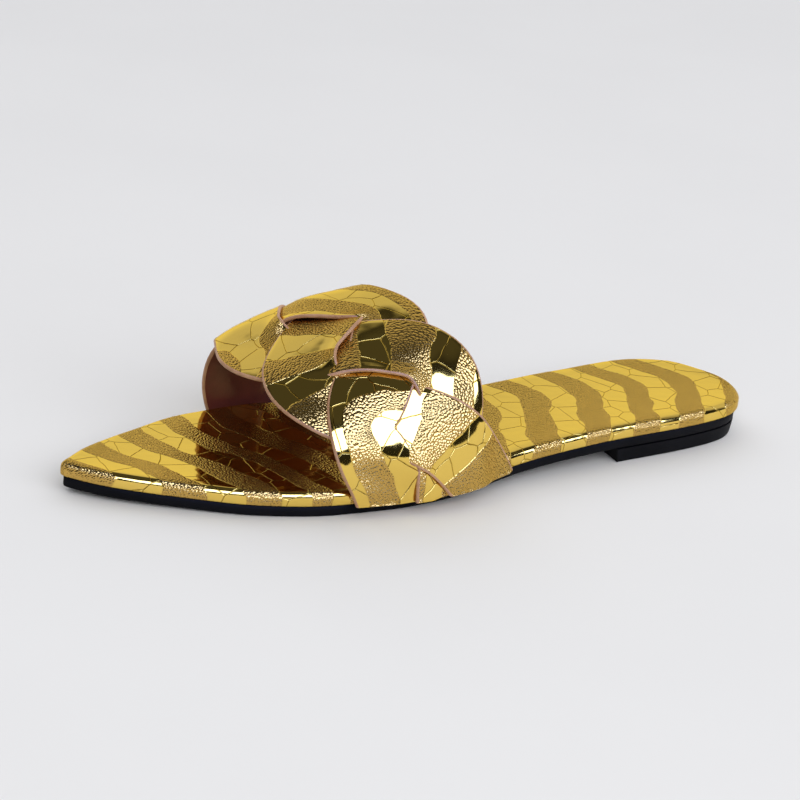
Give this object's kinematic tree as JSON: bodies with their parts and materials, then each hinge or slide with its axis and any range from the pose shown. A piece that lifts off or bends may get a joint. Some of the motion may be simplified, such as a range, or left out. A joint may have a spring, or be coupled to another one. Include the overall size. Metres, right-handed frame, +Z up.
{
  "type": "slide sandal",
  "caption": "Flat pointed slide sandal for the left foot, with a wide braided strap over the instep, a wrapped footbed, a thin rubber sole and a low stacked heel.",
  "frame": {"origin": "middle of the heel's tread, on the floor", "axes": "+X towards the toe, +Y towards the outer side of the left foot, +Z up from the floor"},
  "size_m": [0.27, 0.089, 0.061],
  "materials": {
    "foil_leather": "gold foil in stripes, smooth with a scale print and pebbled in turn, with a brown lining",
    "sole_rubber": "black, satin"
  },
  "bodies": {
    "root": {"outsole": "sole_rubber", "heel_block": "sole_rubber", "footbed": "foil_leather", "upper": "foil_leather"}
  },
  "joints": []
}
